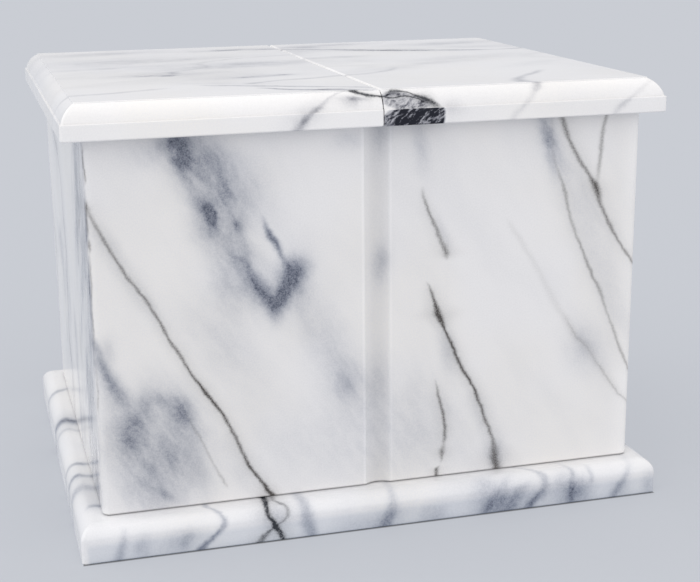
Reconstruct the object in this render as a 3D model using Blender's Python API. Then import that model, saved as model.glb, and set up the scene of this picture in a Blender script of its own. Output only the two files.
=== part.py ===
"""A polished marble cremation urn for two, in metres, +Z up, with its front towards -Y.

A rectangular body, carved from one block, holds two compartments side by side and has a shallow
flute down the middle of its front. It stands on a wider plinth slab. Each compartment has its own
moulded lid, which rests on the body, is located by a step underneath, and lifts off.
The origin is the middle of the plinth's underside.
"""
import math

import bmesh
import bpy
from mathutils import Vector

# Body
BODY_WIDTH = 0.286
BODY_DEPTH = 0.240
BODY_HEIGHT = 0.1898
BODY_CORNER_RADIUS = 0.004
BODY_ARRIS = 0.0006
OUTER_WALL = 0.022
DIVIDER_WALL = 0.022
FLOOR_THICKNESS = 0.020

# Compartments
COMPARTMENT_CORNER_RADIUS = 0.012
COMPARTMENT_FLOOR_FILLET = 0.005
MOUTH_CHAMFER = 0.0008

# Flute down the front
FLUTE_WIDTH = 0.014
FLUTE_DEPTH = 0.0022

# Plinth
PLINTH_THICKNESS = 0.019
PLINTH_OVERHANG = 0.0126
PLINTH_ROUND_OVER = 0.0075
PLINTH_CORNER_EASE = 0.0018
PLINTH_FOOT_ARRIS = 0.0006

# Lids: from below, a plain rim, a narrow sloping ledge, an ovolo moulding and a short upright fillet
LID_THICKNESS = 0.0174
LID_OVERHANG = 0.0104
LID_RIM_HEIGHT = 0.0083
LID_RIM_ARRIS = 0.0006
LID_FOOT_ARRIS = 0.0009
LID_LEDGE = 0.0009
LID_LEDGE_RISE = 0.0002
LID_MOULDING_WIDTH = 0.0075
LID_TOP_FILLET = 0.0009
LID_OVOLO_TURN = math.radians(50)
LID_CORNER_EASE = 0.0013

# Joint between the two lids, a little to the right of the middle
LID_JOINT_OFFSET = 0.0017
LID_JOINT_GAP = 0.0005
LID_JOINT_EASE = 0.0014

# Step under each lid, which drops into its compartment
STEP_HEIGHT = 0.006
STEP_CLEARANCE = 0.001
STEP_FOOT_CHAMFER = 0.001

# Gap between pieces that rest on each other
SEAT_GAP = 0.0003

# How finely curves are made, and how far a cut runs past what it cuts
ARC_STEPS = 8
CORNER_STEPS = 5
FLUTE_SIDES = 96
CUT_PAST = 0.004
JOIN_OVERLAP = 0.002
SMOOTH_ANGLE = math.radians(30)
QUARTER_TURN = math.pi / 2

# Worked out from the sizes above
PLINTH_TOP = PLINTH_THICKNESS
BODY_FOOT = PLINTH_TOP + SEAT_GAP
BODY_TOP = BODY_FOOT + BODY_HEIGHT
LID_FOOT = BODY_TOP + SEAT_GAP
COMPARTMENT_FOOT = BODY_FOOT + FLOOR_THICKNESS

MARBLE = (0.80, 0.80, 0.81, 1.0)
MARBLE_LIDS = (0.84, 0.83, 0.83, 1.0)
MARBLE_PLINTH = (0.79, 0.79, 0.80, 1.0)
POLISH_ROUGHNESS = 0.12


def new_collection(name):
    """Adds an empty collection to the scene."""
    collection = bpy.data.collections.new(name)
    bpy.context.scene.collection.children.link(collection)
    return collection


def marble(name, colour):
    """A polished, non-metallic stone material."""
    material = bpy.data.materials.new(name)
    material.use_nodes = True
    shader = material.node_tree.nodes["Principled BSDF"]
    shader.inputs["Base Color"].default_value = colour
    shader.inputs["Roughness"].default_value = POLISH_ROUGHNESS
    shader.inputs["Metallic"].default_value = 0.0
    material.diffuse_color = colour
    return material


def arc(start, end, turn=QUARTER_TURN):
    """Points of an outward arc on a side's profile, from one (inset, height) to a higher one."""
    start = Vector(start)
    end = Vector(end)
    along = (end - start).normalized()
    outward = Vector((-along.y, along.x))
    radius = (end - start).length / (2 * math.sin(turn / 2))
    centre = (start + end) / 2 - outward * radius * math.cos(turn / 2)
    angles = [turn * (step / ARC_STEPS - 0.5) for step in range(ARC_STEPS + 1)]
    return [centre + radius * (outward * math.cos(a) + along * math.sin(a)) for a in angles]


def draw_in(verts, centre, inset, joint_side=0, joint_inset=0.0):
    """Moves a level's points towards the middle, so that its sides stand in and its corners keep their shape."""
    for vert in verts:
        side = 1 if vert.co.x > centre.x else -1
        vert.co.x -= side * (joint_inset if side == joint_side else inset)
        vert.co.y -= inset if vert.co.y > centre.y else -inset


def block(name, low, high, corner, profile, joint_side=0, joint_profile=None):
    """A block with rounded upright corners, made level by level along a profile of (inset, height) points.

    low and high are the corners of its plan, and heights are measured from low's. A side at +X or -X
    that is a plain joint face, joint_side 1 or -1, has insets of its own, one for each point.
    """
    low = Vector(low)
    high = Vector(high)
    centre = (low + high) / 2
    joint_insets = joint_profile or [point[0] for point in profile]
    bm = bmesh.new()
    bmesh.ops.create_cube(bm, size=1.0)
    first_rise = profile[1][1] - profile[0][1]
    bmesh.ops.scale(bm, vec=(high.x - low.x, high.y - low.y, first_rise), verts=bm.verts)
    bmesh.ops.translate(bm, vec=(centre.x, centre.y, low.z + first_rise / 2), verts=bm.verts)
    uprights = [edge for edge in bm.edges if abs(edge.verts[0].co.z - edge.verts[1].co.z) > first_rise / 2]
    bmesh.ops.bevel(
        bm, geom=uprights, offset=corner, offset_type="OFFSET", segments=CORNER_STEPS,
        profile=0.5, affect="EDGES", clamp_overlap=False,
    )
    bm.faces.ensure_lookup_table()
    bottom = min(bm.faces, key=lambda face: face.calc_center_median().z)
    top = max(bm.faces, key=lambda face: face.calc_center_median().z)
    draw_in(bottom.verts, centre, profile[0][0], joint_side, joint_insets[0])
    draw_in(top.verts, centre, profile[1][0], joint_side, joint_insets[1])
    for index in range(2, len(profile)):
        lower = profile[index - 1]
        upper = profile[index]
        grown = bmesh.ops.extrude_discrete_faces(bm, faces=[top])["faces"]
        top = grown[0]
        bmesh.ops.translate(bm, vec=(0, 0, upper[1] - lower[1]), verts=top.verts)
        joint_step = joint_insets[index] - joint_insets[index - 1]
        draw_in(top.verts, centre, upper[0] - lower[0], joint_side, joint_step)
    bmesh.ops.recalc_face_normals(bm, faces=bm.faces)
    mesh = bpy.data.meshes.new(name)
    bm.to_mesh(mesh)
    bm.free()
    mesh.shade_smooth()
    mesh.set_sharp_from_angle(angle=SMOOTH_ANGLE)
    return bpy.data.objects.new(name, mesh)


def add_part(obj, collection, material):
    """Puts a finished piece in its collection, with its own material."""
    obj.data.materials.append(material)
    collection.objects.link(obj)
    return obj


def add_helper(obj, collection):
    """Puts a shape that only cuts or joins in its collection, drawn as wire and left out of renders."""
    collection.objects.link(obj)
    obj.display_type = "WIRE"
    obj.hide_render = True
    return obj


def combine(obj, helper, operation):
    """Cuts a helper out of a piece, or joins it on."""
    modifier = obj.modifiers.new(f"{operation.lower()} {helper.name}", "BOOLEAN")
    modifier.operation = operation
    modifier.object = helper
    modifier.solver = "EXACT"


def compartment_plan(side):
    """The left and right ends of a compartment, -1 for the left one and 1 for the right one."""
    inner = side * DIVIDER_WALL / 2
    outer = side * (BODY_WIDTH / 2 - OUTER_WALL)
    return min(inner, outer), max(inner, outer)


def make_plinth(collection):
    """The slab that the body stands on, with its upper edge rounded over."""
    half_width = BODY_WIDTH / 2 + PLINTH_OVERHANG
    half_depth = BODY_DEPTH / 2 + PLINTH_OVERHANG
    profile = arc((PLINTH_FOOT_ARRIS, 0), (0, PLINTH_FOOT_ARRIS))
    profile += arc((0, PLINTH_THICKNESS - PLINTH_ROUND_OVER), (PLINTH_ROUND_OVER, PLINTH_THICKNESS))
    plinth = block(
        "plinth", (-half_width, -half_depth, 0), (half_width, half_depth, 0), PLINTH_CORNER_EASE, profile
    )
    return add_part(plinth, collection, marble("plinth_marble", MARBLE_PLINTH))


def make_compartment_cutter(side, helpers):
    """The space inside one compartment, open at the top."""
    x_low, x_high = compartment_plan(side)
    half_depth = BODY_DEPTH / 2 - OUTER_WALL
    depth = BODY_TOP - COMPARTMENT_FOOT
    profile = arc((COMPARTMENT_FLOOR_FILLET, 0), (0, COMPARTMENT_FLOOR_FILLET))
    profile += [(0, depth - MOUTH_CHAMFER), (-MOUTH_CHAMFER - CUT_PAST, depth + CUT_PAST)]
    cutter = block(
        "left_compartment_cutter" if side < 0 else "right_compartment_cutter",
        (x_low, -half_depth, COMPARTMENT_FOOT), (x_high, half_depth, COMPARTMENT_FOOT),
        COMPARTMENT_CORNER_RADIUS, profile,
    )
    return add_helper(cutter, helpers)


def make_flute_cutter(helpers):
    """An upright round bar whose side cuts the flute: its radius follows from the flute's width and depth."""
    radius = (FLUTE_WIDTH ** 2 / 4 + FLUTE_DEPTH ** 2) / (2 * FLUTE_DEPTH)
    bpy.ops.mesh.primitive_cylinder_add(
        vertices=FLUTE_SIDES, radius=radius, depth=BODY_HEIGHT + 2 * CUT_PAST,
        location=(0, -BODY_DEPTH / 2 + FLUTE_DEPTH - radius, BODY_FOOT + BODY_HEIGHT / 2),
    )
    cutter = bpy.context.object
    cutter.name = "flute_cutter"
    cutter.data.shade_smooth()
    for collection in list(cutter.users_collection):
        collection.objects.unlink(cutter)
    return add_helper(cutter, helpers)


def make_body(collection, helpers):
    """The hollow block with its two compartments and the flute down its front."""
    half_width = BODY_WIDTH / 2
    half_depth = BODY_DEPTH / 2
    profile = arc((BODY_ARRIS, 0), (0, BODY_ARRIS))
    profile += arc((0, BODY_HEIGHT - BODY_ARRIS), (BODY_ARRIS, BODY_HEIGHT))
    body = block(
        "body", (-half_width, -half_depth, BODY_FOOT), (half_width, half_depth, BODY_FOOT),
        BODY_CORNER_RADIUS, profile,
    )
    add_part(body, collection, marble("body_marble", MARBLE))
    for side in (-1, 1):
        combine(body, make_compartment_cutter(side, helpers), "DIFFERENCE")
    combine(body, make_flute_cutter(helpers), "DIFFERENCE")
    return body


def lid_profile():
    """The moulded edge of a lid, from its foot to its top, as (inset, height) points."""
    fillet_foot = LID_THICKNESS - LID_TOP_FILLET
    points = arc((LID_FOOT_ARRIS, 0), (0, LID_FOOT_ARRIS))
    points.append((0, LID_JOINT_EASE))
    points += arc((0, LID_RIM_HEIGHT - LID_RIM_ARRIS), (LID_RIM_ARRIS, LID_RIM_HEIGHT))
    ledge_end = (LID_LEDGE, LID_RIM_HEIGHT + LID_LEDGE_RISE)
    points += arc(ledge_end, (LID_MOULDING_WIDTH, fillet_foot), LID_OVOLO_TURN)
    points.append((LID_MOULDING_WIDTH, fillet_foot + LID_TOP_FILLET / 2))
    points.append((LID_MOULDING_WIDTH, LID_THICKNESS))
    return points


def joint_inset(height):
    """How far a lid's joint face stands in at a height, because its upper and lower edges are rounded."""
    reach = max(LID_JOINT_EASE - min(height, LID_THICKNESS - height), 0.0)
    return LID_JOINT_EASE - math.sqrt(max(LID_JOINT_EASE ** 2 - reach ** 2, 0.0))


def make_lid(name, side, collection, helpers):
    """One lid, moulded on its three outer sides and plain at the joint, with the step under it."""
    joint = LID_JOINT_OFFSET + side * LID_JOINT_GAP / 2
    outer = side * (BODY_WIDTH / 2 + LID_OVERHANG)
    half_depth = BODY_DEPTH / 2 + LID_OVERHANG
    profile = lid_profile()
    lid = block(
        name, (min(joint, outer), -half_depth, LID_FOOT), (max(joint, outer), half_depth, LID_FOOT),
        LID_CORNER_EASE, profile, -side, [joint_inset(point[1]) for point in profile],
    )
    add_part(lid, collection, marble(name + "_marble", MARBLE_LIDS))
    combine(lid, make_lid_step(name + "_step", side, helpers), "UNION")
    return lid


def make_lid_step(name, side, helpers):
    """The step that drops into a compartment and keeps the lid in place."""
    x_low, x_high = compartment_plan(side)
    half_depth = BODY_DEPTH / 2 - OUTER_WALL - STEP_CLEARANCE
    foot = LID_FOOT - STEP_HEIGHT
    profile = [(STEP_FOOT_CHAMFER, 0), (0, STEP_FOOT_CHAMFER), (0, STEP_HEIGHT + JOIN_OVERLAP)]
    step = block(
        name, (x_low + STEP_CLEARANCE, -half_depth, foot), (x_high - STEP_CLEARANCE, half_depth, foot),
        COMPARTMENT_CORNER_RADIUS, profile,
    )
    return add_helper(step, helpers)


def main():
    for obj in list(bpy.data.objects):
        bpy.data.objects.remove(obj, do_unlink=True)
    urn = new_collection("cremation_urn")
    helpers = new_collection("cutters")
    make_plinth(urn)
    make_body(urn, helpers)
    make_lid("left_lid", -1, urn, helpers)
    make_lid("right_lid", 1, urn, helpers)


main()
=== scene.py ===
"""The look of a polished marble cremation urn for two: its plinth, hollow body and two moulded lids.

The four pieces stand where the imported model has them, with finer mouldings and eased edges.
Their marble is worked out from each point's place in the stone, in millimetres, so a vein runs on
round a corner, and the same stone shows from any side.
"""
import math
from collections import namedtuple

import bmesh
import bpy
from mathutils import Matrix, Vector


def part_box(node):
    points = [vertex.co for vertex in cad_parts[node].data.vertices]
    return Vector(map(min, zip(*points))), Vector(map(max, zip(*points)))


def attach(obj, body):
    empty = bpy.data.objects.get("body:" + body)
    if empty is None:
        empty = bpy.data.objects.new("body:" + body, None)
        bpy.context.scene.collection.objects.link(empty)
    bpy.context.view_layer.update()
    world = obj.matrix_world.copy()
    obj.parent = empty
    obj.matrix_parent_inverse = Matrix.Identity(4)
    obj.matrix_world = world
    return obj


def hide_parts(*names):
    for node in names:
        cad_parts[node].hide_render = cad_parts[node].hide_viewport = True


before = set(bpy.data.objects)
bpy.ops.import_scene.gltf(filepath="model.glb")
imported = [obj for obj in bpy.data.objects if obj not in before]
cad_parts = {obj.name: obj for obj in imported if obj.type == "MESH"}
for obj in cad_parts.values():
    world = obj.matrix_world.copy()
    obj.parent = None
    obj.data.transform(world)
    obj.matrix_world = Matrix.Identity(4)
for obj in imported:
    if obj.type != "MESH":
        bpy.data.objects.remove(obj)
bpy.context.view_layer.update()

BODY = "root"

# Camera, from the photograph's perspective
CAMERA_PLACE = (-0.2002, -0.7869, 0.3122)
CAMERA_YAW = math.radians(-15.638)
CAMERA_PITCH = math.radians(15.096)
CAMERA_ROLL = math.radians(-0.588)
CAMERA_LENS = 73.07
SENSOR_WIDTH = 36.0

# Studio: a pale floor, which glows a little so that it is even, and a soft dome. The glow stops in a
# thin strip along the plinth's front and back, which paints a dark contact shadow at its foot
FLOOR_HALF = 12.0
FLOOR_COLOUR = (0.24, 0.245, 0.255, 1.0)
FLOOR_GLOW = (0.318, 0.334, 0.368, 1.0)
# Where the floor's glow fades out at the plinth's sides and front: a painted contact shadow
CONTACT_SHADOW_SIDE = (-0.0008, -0.0002)
CONTACT_SHADOW_FRONT = (0.0004, 0.0016)
DOME = (
    (0.0, (0.54, 0.56, 0.61)), (0.14, (0.565, 0.58, 0.625)), (0.3, (0.62, 0.625, 0.65)),
    (0.5, (0.75, 0.75, 0.76)), (1.0, (0.75, 0.75, 0.76)),
)
KEY_LOBES = (
    ((0.2, -1.0, 0.12), 3.0, (0.74, 0.72, 0.70)), ((0.0, 0.0, 1.0), 4.0, (0.52, 0.51, 0.50)),
    ((-1.0, 0.0, 0.2), 3.0, (0.36, 0.36, 0.36)), ((-0.8, 0.0, 0.6), 3.0, (0.42, 0.42, 0.42)),
)

# Edges and mouldings. The flute, the right wall and the lids' top edge differ a little from the solids'
BODY_CORNER_RADIUS = 0.004
BODY_ARRIS = 0.0006
BODY_RIGHT_GROWTH = 0.0016
FLUTE_WIDTH = 0.0128
FLUTE_CENTRE = 0.0008
FLUTE_DEPTH = 0.0022
FLUTE_EDGE_RADIUS = 0.0012
OUTER_WALL = 0.022
DIVIDER_WALL = 0.022
FLOOR_THICKNESS = 0.020
COMPARTMENT_CORNER_RADIUS = 0.012
COMPARTMENT_FLOOR_FILLET = 0.005
MOUTH_CHAMFER = 0.0008
PLINTH_ROUND_OVER = 0.0075
PLINTH_CORNER_EASE = 0.0018
PLINTH_FOOT_ARRIS = 0.0006
LID_RIM_HEIGHT = 0.0083
LID_RIM_ARRIS = 0.0006
LID_FOOT_ARRIS = 0.0009
LID_LEDGE = 0.0009
LID_LEDGE_RISE = 0.0002
LID_MOULDING_WIDTH = 0.0075
LID_TOP_FILLET = 0.0005
LID_TOP_ARRIS = 0.0003
LID_OVOLO_TURN = math.radians(50)
LID_CORNER_EASE = 0.0013
LID_JOINT_EASE = 0.0014
LID_JOINT_ARRIS = 0.0003
STEP_HEIGHT = 0.006
STEP_CLEARANCE = 0.001
STEP_FOOT_CHAMFER = 0.001

# How finely curves are made, and how far a cut or a join runs past a surface
ARC_STEPS = 14
CORNER_STEPS = 10
FLUTE_STEPS = 40
CUT_PAST = 0.004
JOIN_OVERLAP = 0.002
QUARTER_TURN = math.pi / 2
SMOOTH_ANGLE = math.radians(30)

MM = 0.001
BELL_BASE = math.exp(-1)


def arc(start, end, turn=QUARTER_TURN, steps=ARC_STEPS):
    """Points of an outward arc on a side's profile, from one (inset, height) to a higher one."""
    start = Vector(start)
    end = Vector(end)
    along = (end - start).normalized()
    outward = Vector((-along.y, along.x))
    radius = (end - start).length / (2 * math.sin(turn / 2))
    centre = (start + end) / 2 - outward * radius * math.cos(turn / 2)
    angles = [turn * (step / steps - 0.5) for step in range(steps + 1)]
    return [tuple(centre + radius * (outward * math.cos(a) + along * math.sin(a))) for a in angles]


def rounded_plan(low, high, corner, joint_side=0, joint_corner=None):
    """The outline of a rounded rectangle, anticlockwise from its front left corner's start.

    Each point is (x, y, side in x, side in y), and its sides say which way an inset moves it.
    The two corners at a joint have a radius of their own.
    """
    plan = []
    for index, (side_x, side_y) in enumerate(((-1, -1), (1, -1), (1, 1), (-1, 1))):
        radius = joint_corner if side_x == joint_side else corner
        centre_x = (high.x if side_x > 0 else low.x) - side_x * radius
        centre_y = (high.y if side_y > 0 else low.y) - side_y * radius
        for step in range(CORNER_STEPS + 1):
            angle = QUARTER_TURN * (index + 2 + step / CORNER_STEPS)
            x = centre_x + radius * math.cos(angle)
            y = centre_y + radius * math.sin(angle)
            plan.append((x, y, side_x, side_y))
    return plan


def flute_plan(front):
    """The flute's outline from left to right: an eased edge, the hollow arc and an eased edge."""
    radius = (FLUTE_WIDTH ** 2 / 4 + FLUTE_DEPTH ** 2) / (2 * FLUTE_DEPTH)
    centre_y = front + FLUTE_DEPTH - radius
    edge_rise = front + FLUTE_EDGE_RADIUS - centre_y
    edge_x = math.sqrt((radius + FLUTE_EDGE_RADIUS) ** 2 - edge_rise ** 2)
    spread = math.atan2(edge_x, edge_rise)
    edge_angles = [spread * step / CORNER_STEPS for step in range(CORNER_STEPS)]
    points = []
    for angle in edge_angles:
        x = -edge_x + FLUTE_EDGE_RADIUS * math.sin(angle)
        points.append((x, front + FLUTE_EDGE_RADIUS * (1 - math.cos(angle))))
    for step in range(FLUTE_STEPS + 1):
        angle = spread * (2 * step / FLUTE_STEPS - 1)
        points.append((radius * math.sin(angle), centre_y + radius * math.cos(angle)))
    for x, y in points[len(edge_angles) - 1::-1]:
        points.append((-x, y))
    return [(x + FLUTE_CENTRE, y, 0, -1) for x, y in points]


def loft(name, plan, foot, profile, joint_side=0, joint_profile=None):
    """A closed solid made level by level: each (inset, height) draws the plan in at that height.

    A side at -X or +X that is a plain joint face, joint_side -1 or 1, has insets of its own.
    """
    joint_insets = joint_profile or [point[0] for point in profile]
    bm = bmesh.new()
    rings = []
    for (inset, height), joint_inset in zip(profile, joint_insets):
        ring = []
        for x, y, side_x, side_y in plan:
            x_inset = joint_inset if side_x == joint_side else inset
            ring.append(bm.verts.new((x - side_x * x_inset, y - side_y * inset, foot + height)))
        rings.append(ring)
    for lower, upper in zip(rings, rings[1:]):
        for index in range(len(plan)):
            after = (index + 1) % len(plan)
            bm.faces.new((lower[index], lower[after], upper[after], upper[index]))
    bm.faces.new(rings[0][::-1])
    bm.faces.new(rings[-1])
    mesh = bpy.data.meshes.new(name)
    bm.to_mesh(mesh)
    bm.free()
    made = bpy.data.objects.new(name, mesh)
    bpy.context.scene.collection.objects.link(made)
    return made


def cut_or_join(piece, helpers, operation):
    """Cuts the helpers out of a piece or joins them on, for good, and removes them."""
    for helper in helpers:
        modifier = piece.modifiers.new(helper.name, "BOOLEAN")
        modifier.operation = operation
        modifier.object = helper
        modifier.solver = "EXACT"
    depsgraph = bpy.context.evaluated_depsgraph_get()
    mesh = bpy.data.meshes.new_from_object(piece.evaluated_get(depsgraph))
    piece.modifiers.clear()
    piece.data = mesh
    for helper in helpers:
        bpy.data.objects.remove(helper, do_unlink=True)


def finish_piece(piece, node, material):
    """Shades a piece like polished stone and lets it stand for its node."""
    piece.data.shade_smooth()
    piece.data.set_sharp_from_angle(angle=SMOOTH_ANGLE)
    weighted = piece.modifiers.new("flat faces stay flat", "WEIGHTED_NORMAL")
    weighted.keep_sharp = True
    piece.data.materials.clear()
    piece.data.materials.append(material)
    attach(piece, BODY)
    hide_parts(node)


def compartment_plan(side, body_low, body_high, grow=0.0):
    """The corners of one compartment's plan, grown all round. Side is -1 for the left one."""
    inner = side * DIVIDER_WALL / 2
    outer = body_high.x - OUTER_WALL if side > 0 else body_low.x + OUTER_WALL
    low = Vector((min(inner, outer) - grow, body_low.y + OUTER_WALL - grow))
    high = Vector((max(inner, outer) + grow, body_high.y - OUTER_WALL + grow))
    return low, high


def make_plinth_mesh():
    """The slab, with its upper edge rounded over."""
    low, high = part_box("plinth")
    thickness = high.z - low.z
    profile = arc((PLINTH_FOOT_ARRIS, 0), (0, PLINTH_FOOT_ARRIS))
    profile += arc((0, thickness - PLINTH_ROUND_OVER), (PLINTH_ROUND_OVER, thickness))
    return loft("plinth_stone", rounded_plan(low, high, PLINTH_CORNER_EASE), low.z, profile)


def make_body_mesh():
    """The hollow block with the flute down its front. Its right wall is a little thicker."""
    low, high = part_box("body")
    height = high.z - low.z
    right_wall_end = Vector((high.x + BODY_RIGHT_GROWTH, high.y, high.z))
    corners = rounded_plan(low, right_wall_end, BODY_CORNER_RADIUS)
    first_corner = CORNER_STEPS + 1
    plan = corners[:first_corner] + flute_plan(low.y) + corners[first_corner:]
    profile = arc((BODY_ARRIS, 0), (0, BODY_ARRIS))
    profile += arc((0, height - BODY_ARRIS), (BODY_ARRIS, height))
    body = loft("body_stone", plan, low.z, profile)
    foot = low.z + FLOOR_THICKNESS
    depth = high.z - foot
    hollow = arc((COMPARTMENT_FLOOR_FILLET, 0), (0, COMPARTMENT_FLOOR_FILLET))
    hollow += [(0, depth - MOUTH_CHAMFER), (-MOUTH_CHAMFER - CUT_PAST, depth + CUT_PAST)]
    cutters = []
    for side in (-1, 1):
        plan = rounded_plan(*compartment_plan(side, low, high), COMPARTMENT_CORNER_RADIUS)
        cutters.append(loft(f"hollow_{side}", plan, foot, hollow))
    cut_or_join(body, cutters, "DIFFERENCE")
    return body


def lid_profile(thickness):
    """The moulded edge of a lid: plain rim, narrow ledge, ovolo, short fillet and the top's arris."""
    fillet_foot = thickness - LID_TOP_FILLET
    points = arc((LID_FOOT_ARRIS, 0), (0, LID_FOOT_ARRIS))
    points.append((0, LID_JOINT_EASE))
    points += arc((0, LID_RIM_HEIGHT - LID_RIM_ARRIS), (LID_RIM_ARRIS, LID_RIM_HEIGHT))
    ledge_end = (LID_LEDGE, LID_RIM_HEIGHT + LID_LEDGE_RISE)
    points += arc(ledge_end, (LID_MOULDING_WIDTH, fillet_foot), LID_OVOLO_TURN)
    top_start = (LID_MOULDING_WIDTH, thickness - LID_TOP_ARRIS)
    points += arc(top_start, (LID_MOULDING_WIDTH + LID_TOP_ARRIS, thickness), steps=5)
    return points


def joint_inset(height, thickness):
    """How far a lid's joint face stands in at a height, because its edges are rounded."""
    reach = max(LID_JOINT_EASE - min(height, thickness - height), 0.0)
    return LID_JOINT_EASE - math.sqrt(max(LID_JOINT_EASE ** 2 - reach ** 2, 0.0))


def make_lid_mesh(node, side):
    """One lid, moulded on its three outer sides, with the step that drops into its compartment."""
    low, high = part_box(node)
    body_low, body_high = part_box("body")
    foot = low.z + STEP_HEIGHT
    thickness = high.z - foot
    profile = lid_profile(thickness)
    joint = [joint_inset(height, thickness) for inset, height in profile]
    plan = rounded_plan(low, high, LID_CORNER_EASE, -side, LID_JOINT_ARRIS)
    lid = loft(node + "_stone", plan, foot, profile, -side, joint)
    step_profile = [(STEP_FOOT_CHAMFER, 0), (0, STEP_FOOT_CHAMFER), (0, STEP_HEIGHT + JOIN_OVERLAP)]
    step_low, step_high = compartment_plan(side, body_low, body_high, -STEP_CLEARANCE)
    step_plan = rounded_plan(step_low, step_high, COMPARTMENT_CORNER_RADIUS)
    step = loft(node + "_step", step_plan, low.z, step_profile)
    cut_or_join(lid, [step], "UNION")
    return lid


class Graph:
    """Adds shader nodes and joins them, so that a pattern reads like a formula."""

    def __init__(self, tree):
        self.tree = tree

    def add(self, kind, inputs=(), **settings):
        """A shader node with settings, and its inputs by name or index."""
        node = self.tree.nodes.new("ShaderNode" + kind)
        for name, value in settings.items():
            setattr(node, name, value)
        for key, value in dict(inputs).items():
            self.plug(node.inputs[key], value)
        return node

    def plug(self, socket, value):
        """Links another node's socket, or sets a plain value."""
        if isinstance(value, bpy.types.NodeSocket):
            self.tree.links.new(value, socket)
        else:
            socket.default_value = value

    def math(self, operation, *values, clamp=False):
        node = self.add("Math", enumerate(values), operation=operation, use_clamp=clamp)
        return node.outputs[0]

    def plus(self, first, second):
        return self.math("ADD", first, second)

    def minus(self, first, second):
        return self.math("SUBTRACT", first, second)

    def times(self, first, second, clamp=False):
        return self.math("MULTIPLY", first, second, clamp=clamp)

    def onto(self, total, amount, factor):
        """A total with an amount times a factor added to it."""
        return self.math("MULTIPLY_ADD", amount, factor, total)

    def distance(self, value, centre):
        return self.math("ABSOLUTE", self.minus(value, centre))

    def vector(self, operation, *values):
        node = self.add("VectorMath", enumerate(values), operation=operation)
        return node.outputs["Value" if operation == "DOT_PRODUCT" else "Vector"]

    def scaled(self, vector, factor):
        inputs = {"Vector": vector, "Scale": factor}
        return self.add("VectorMath", inputs, operation="SCALE").outputs["Vector"]

    def placed(self, point, centre=(0, 0, 0), turn=(0, 0, 0), lengths=(1, 1, 1)):
        """The point seen from a frame turned by degrees at a centre, in units of its own lengths."""
        angles = [math.radians(part) for part in turn]
        inputs = {"Vector": point, "Location": centre, "Rotation": angles, "Scale": lengths}
        return self.add("Mapping", inputs, vector_type="TEXTURE").outputs["Vector"]

    def split(self, vector):
        node = self.add("SeparateXYZ", {"Vector": vector})
        return node.outputs["X"], node.outputs["Y"], node.outputs["Z"]

    def joined(self, x, y, z):
        return self.add("CombineXYZ", {"X": x, "Y": y, "Z": z}).outputs["Vector"]

    def noise(self, point, size, detail=2.0, roughness=0.5, colour=False):
        """Smooth noise round 0.5, with features of a size in the point's own units."""
        inputs = {"Vector": point, "Scale": 1 / size, "Detail": detail, "Roughness": roughness}
        node = self.add("TexNoise", inputs, noise_dimensions="3D")
        return node.outputs["Color" if colour else "Fac"]

    def step(self, value, start, end, low=0.0, high=1.0):
        """A smooth step from low at start to high at end."""
        inputs = {"Value": value, "From Min": start, "From Max": end, "To Min": low, "To Max": high}
        node = self.add("MapRange", inputs, interpolation_type="SMOOTHSTEP")
        return node.outputs["Result"]

    def fall(self, value, start, end):
        """A smooth step from 1 at start to 0 at end."""
        return self.step(value, start, end, 1.0, 0.0)

    def curve(self, value, points):
        """A smooth line through (at, value) points, level beyond its ends."""
        node = self.add("FloatCurve", {"Value": value})
        mapping = node.mapping
        mapping.use_clip = False
        mapping.extend = "HORIZONTAL"
        line = mapping.curves[0]
        ordered = sorted(points)
        for at, level in ordered[2:]:
            line.points.new(at, level)
        line.points[0].location = ordered[0]
        line.points[1].location = ordered[1]
        for index, place in enumerate(ordered):
            line.points[index].location = place
            line.points[index].handle_type = "AUTO_CLAMPED"
        mapping.update()
        return node.outputs["Value"]

    def bell(self, squared):
        """1 where squared is 0, falling to nothing at about 5."""
        return self.math("POWER", BELL_BASE, squared)

    def square_of(self, value, centre, width):
        """The square of how many widths a value is from a centre."""
        share = self.math("DIVIDE", self.minus(value, centre), width)
        return self.times(share, share)

    def line(self, value, centre, width):
        """1 where a value is at a centre, falling off on both sides of it over a width."""
        return self.bell(self.square_of(value, centre, width))

    def mix(self, share, first, second):
        """A colour between two, from the first at share 0 to the second at share 1."""
        node = self.add("Mix", data_type="RGBA")
        self.plug(node.inputs["Factor"], share)
        self.plug(node.inputs[6], first)
        self.plug(node.inputs[7], second)
        return node.outputs[2]

    def ramp(self, value, stops):
        """A colour ramp through (at, colour) stops."""
        node = self.add("ValToRGB", {"Fac": value})
        elements = node.color_ramp.elements
        while len(elements) < len(stops):
            elements.new(0.5)
        for element, (at, colour) in zip(elements, stops):
            element.position = at
            element.color = (*colour, 1.0)
        return node.outputs["Color"]

    def vein(self, total, along, across, rows, halo=0.0, halo_width=4.0):
        """Adds a vein to total. Its rows are (along, across, width, darkness), in millimetres."""
        centre = self.curve(along, [(row[0], row[1]) for row in rows])
        width = self.curve(along, [(row[0], row[2]) for row in rows])
        dark = self.curve(along, [(row[0], row[3]) for row in rows])
        squared = self.square_of(across, centre, width)
        shape = self.bell(squared)
        if halo:
            wide = self.bell(self.math("DIVIDE", squared, halo_width ** 2))
            shape = self.onto(shape, wide, halo)
        return self.onto(total, shape, dark)

    def veins(self, total, along, across, tables, halo=0.0, halo_width=4.0):
        """Adds several veins that have the same halo."""
        for rows in tables:
            total = self.vein(total, along, across, rows, halo, halo_width)
        return total

    def patches(self, total, point, rows, depth=(0.0, 1.0)):
        """Adds soft oval patches in an upright plane, at a depth and as thick as it says.

        A row is (across, height, half length, half width, turn, amount).
        """
        for across, height, long, wide, turn, amount in rows:
            centre = (across, depth[0], height)
            place = self.placed(point, centre, (0, -turn, 0), (long, depth[1], wide))
            squared = self.vector("DOT_PRODUCT", place, place)
            total = self.onto(total, self.bell(squared), amount)
        return total


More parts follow.
